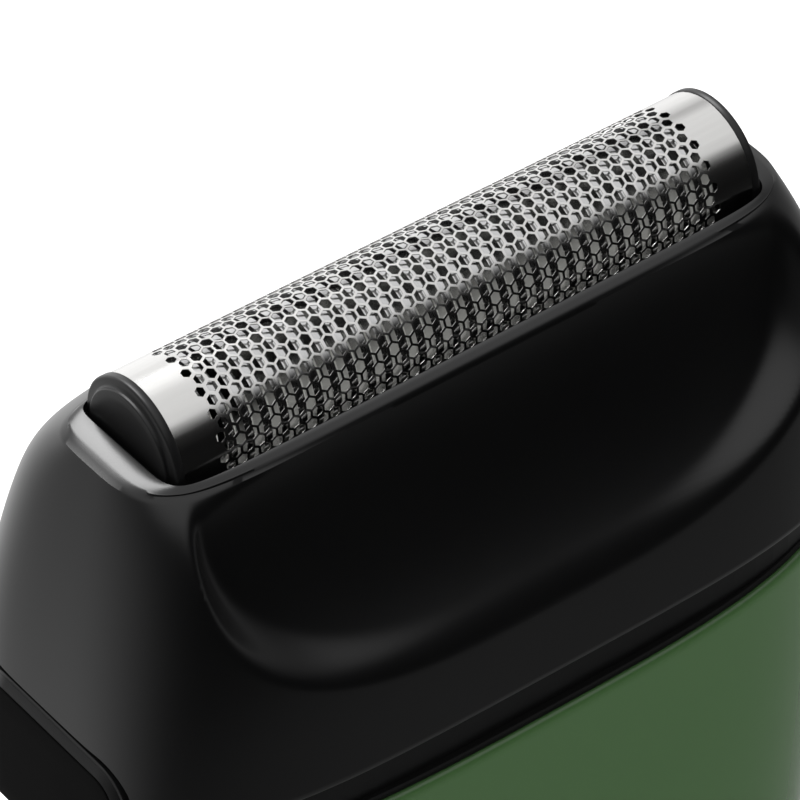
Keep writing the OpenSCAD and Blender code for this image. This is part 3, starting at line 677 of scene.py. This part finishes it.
def cutRound(piece, radius, z, near, far):
    bpy.ops.object.select_all(action="DESELECT")
    bpy.ops.mesh.primitive_cylinder_add(
        vertices=96, radius=radius * mm, depth=(far - near) * mm,
        location=(0, -(near + far) / 2 * mm, z * mm), rotation=(math.pi / 2, 0, 0))
    cutAway(piece, bpy.context.object)


frontShell = makeShell("frontShell", 180, "front_shell")
for radius, z, near in ((body["holeRadius"], body["holeZ"], 5),
                        (body["recessRadius"], body["holeZ"], body["waistB"] - body["recessDepth"]),
                        (body["pipeRadius"], body["pipeZ"], 5)):
    cutRound(frontShell, radius, z, near, 20)
makeShell("rearShell", 0, "rear_shell")
print("body shells made")

foilCap = {"ring": 0.6, "disc": 0.3, "over": 0.06, "step": 0.72, "corner": 0.16, "hollow": 0.12, "points": 96}


# Arch closed by straight skirts down to the lower edge of the cap
def archRing(x, radius, side):
    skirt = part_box("foil_cap_left")[0].z - axisZ
    angles = np.linspace(0, math.pi, foilCap["points"])
    reach = radius * mm
    outline = [(reach, skirt)] + [(reach * math.cos(a), reach * math.sin(a)) for a in angles]
    outline.append((-reach, skirt))
    return np.array([(side * x * mm, y, z + axisZ) for y, z in outline])


def makeFoilCap(name, node, side):
    radius = foilRadius / mm + foilCap["over"]
    inner, corner = radius - foilCap["step"], foilCap["corner"]
    start = foilHalf / mm
    face = start + foilCap["ring"]
    tip = face + foilCap["disc"]
    turns = np.radians([0, 22.5, 45, 67.5, 90])
    profile = [(start, radius - 0.3), (start, radius - 0.05), (start + 0.04, radius)]
    profile += [(face - corner * (1 - math.sin(a)), radius - corner * (1 - math.cos(a))) for a in turns]
    profile += [(face, inner + 0.18), (face + 0.04, inner + 0.06), (face + 0.12, inner)]
    profile += [(tip - 0.1 + 0.1 * math.sin(a), inner - 0.1 * (1 - math.cos(a))) for a in turns]
    profile += [(tip - foilCap["hollow"] * 0.3, inner * 0.8), (tip - foilCap["hollow"] * 0.8, inner * 0.5),
                (tip - foilCap["hollow"], inner * 0.2)]
    piece = loftRings(name, [archRing(x, r, side) for x, r in profile], "fill", 60)
    paint(piece, "black_satin")
    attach(piece, "foil_cassette")
    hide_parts(node)


makeFoilCap("foilCapLeft", "foil_cap_left", -1)
makeFoilCap("foilCapRight", "foil_cap_right", 1)
print("foil caps made")

releaseButton = {"half": 7.6, "low": -31.5, "high": -19.82, "corner": 2.7, "depth": 2.6, "faceLevel": -20.5,
                 "recess": 0.2, "square": 6, "ledge": 0.32, "sink": 0.4, "slope": 0.42, "edge": 0.06,
                 "padGap": 0.14, "padRise": 0.1}


# One outline of the button, laid on the curved end of the cover and sunk below it
def buttonRing(inset, sink, side, flatX=None):
    level = releaseButton["faceLevel"]
    outline = roundedOutline(releaseButton["half"], releaseButton["low"], releaseButton["high"],
                             releaseButton["corner"], 10, inset) + (headCover["notchY"], 0)
    faceX, depthY = coverHalfWidth(level) - releaseButton["recess"], coverHalfDepth(level)
    square = releaseButton["square"]
    x = (faceX - sink) * (1 - (np.abs(outline[:, 0]) / depthY) ** square) ** (1 / square)
    if flatX is not None:
        x = np.full(len(outline), faceX - flatX)
    return np.column_stack([side * x, outline]) * mm + np.array([0, 0, axisZ])


def makeReleaseButton(name, node, side):
    edge, ledge, sink = releaseButton["edge"], releaseButton["ledge"], releaseButton["sink"]
    depth = releaseButton["depth"]
    rings = [buttonRing(0.2, 0, side, depth), buttonRing(0, 0, side, depth - 0.2)]
    rings += [buttonRing(edge * (1 - math.cos(a)), sink + edge * (1 - math.sin(a)), side)
              for a in np.radians([0, 30, 60, 90])]
    rings += [buttonRing(ledge, sink, side), buttonRing(ledge + 0.03, sink - 0.04, side)]
    rings += [buttonRing(ledge + releaseButton["slope"], 0.06, side),
              buttonRing(ledge + releaseButton["slope"] + 0.12, 0.0, side),
              buttonRing(2.6, 0.0, side)]
    piece = loftRings(name, rings, "fill", 28)
    paint(piece, "black_satin")
    body = "left_release" if side < 0 else "right_release"
    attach(piece, body)
    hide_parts(node)
    start = ledge + releaseButton["slope"] + releaseButton["padGap"]
    rise = releaseButton["padRise"]
    steps = ((start, 0.05), (start, -rise * 0.6), (start + 0.05, -rise * 0.9), (start + 0.15, -rise),
             (2.4, -rise))
    rings = [buttonRing(inset, sunk, side) for inset, sunk in steps]
    pad = loftRings(name.replace("Key", "Pad"), rings, "fill", 28)
    pad.data.materials.append(finishes["pad_matte"])
    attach(pad, body)
    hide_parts(node)


makeReleaseButton("releaseKeyLeft", "release_button_left", -1)
makeReleaseButton("releaseKeyRight", "release_button_right", 1)
print("release buttons made")

collar = {"gasketA": 29.1, "gasketB": 12.6, "edge": 0.12, "wideX": 1.35, "wideY": 1.65}


def makeGasket():
    low, high = (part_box("collar_gasket")[i].z / mm for i in (0, 1))
    a, b, square, edge = collar["gasketA"], collar["gasketB"], body["square"], collar["edge"]
    outer = [withHeight(superOutline(a - i, b - i, square, 200), z) * mm
             for i, z in ((edge, low), (0, low + edge), (0, high - edge), (edge, high))]
    hole = [withHeight(superOutline(a - collar["wideX"], b - collar["wideY"], square, 200), z) * mm
            for z in (high, low)]
    piece = loftRings("collarGasket", outer + hole, "close", 50)
    cutNotch(piece)
    paint(piece, "gasket_grey")
    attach(piece, "handle")
    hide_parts("collar_gasket")


makeGasket()

powerButton = {"z": 40.0, "radius": 6.3, "edge": 0.35, "dishRadius": 25.0, "ringWide": 0.9, "points": 96}


# Turns a profile of radius and distance forward round the button's axis
def spinProfile(name, profile, node, bodyName, slotName, ends="fill"):
    rings = []
    turn = np.linspace(0, 2 * math.pi, powerButton["points"] + 1)[:-1]
    for radius, forward in profile:
        ring = [radius * np.cos(turn), np.full(len(turn), -forward), radius * np.sin(turn)]
        rings.append(np.column_stack(ring) * mm + np.array([0, 0, powerButton["z"] * mm]))
    piece = loftRings(name, rings, ends, 30)
    paint(piece, slotName)
    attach(piece, bodyName)
    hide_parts(node)


def makePowerButton():
    radius, edge, dish = powerButton["radius"], powerButton["edge"], powerButton["dishRadius"]
    back = body["waistB"] - 2.7
    rim = body["waistB"] + 0.3

    def face(r):
        return body["waistB"] + 25.1 - math.sqrt(dish * dish - r * r)

    start = min(rim, face(radius - edge))
    flange, flangeHeight = radius + 0.98, 0.8
    profile = [(1.6, back - 0.9), (1.6, back), (flange, back + 0.02), (flange, back + flangeHeight),
               (radius, back + flangeHeight)]
    profile += [(radius - edge * (1 - math.cos(a)), start - edge * (1 - math.sin(a)))
                for a in np.radians([0, 22, 45, 67, 90])]
    profile += [(r, min(start, face(r))) for r in np.linspace(radius - edge - 0.15, 0.3, 14)]
    spinProfile("powerKey", profile, "power_button", "power_key", "satin_metal")


def makeBezel():
    low, high = -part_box("button_bezel")[1].y / mm, -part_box("button_bezel")[0].y / mm
    outer, inner = powerButton["radius"] + 1.2, powerButton["radius"] + 0.3
    profile = [(inner, low), (outer, low), (outer, high - 0.3)]
    profile += [(outer - 0.3 * (1 - math.cos(a)), high - 0.3 * (1 - math.sin(a)))
                for a in np.radians([30, 60, 90])]
    profile += [(inner + 0.2 * (1 - math.sin(a)), high - 0.2 * (1 - math.cos(a)))
                for a in np.radians([0, 30, 60, 90])]
    spinProfile("keyRing", profile, "button_bezel", "handle", "bright_ring", "close")


makePowerButton()
makeBezel()
print("power button made")
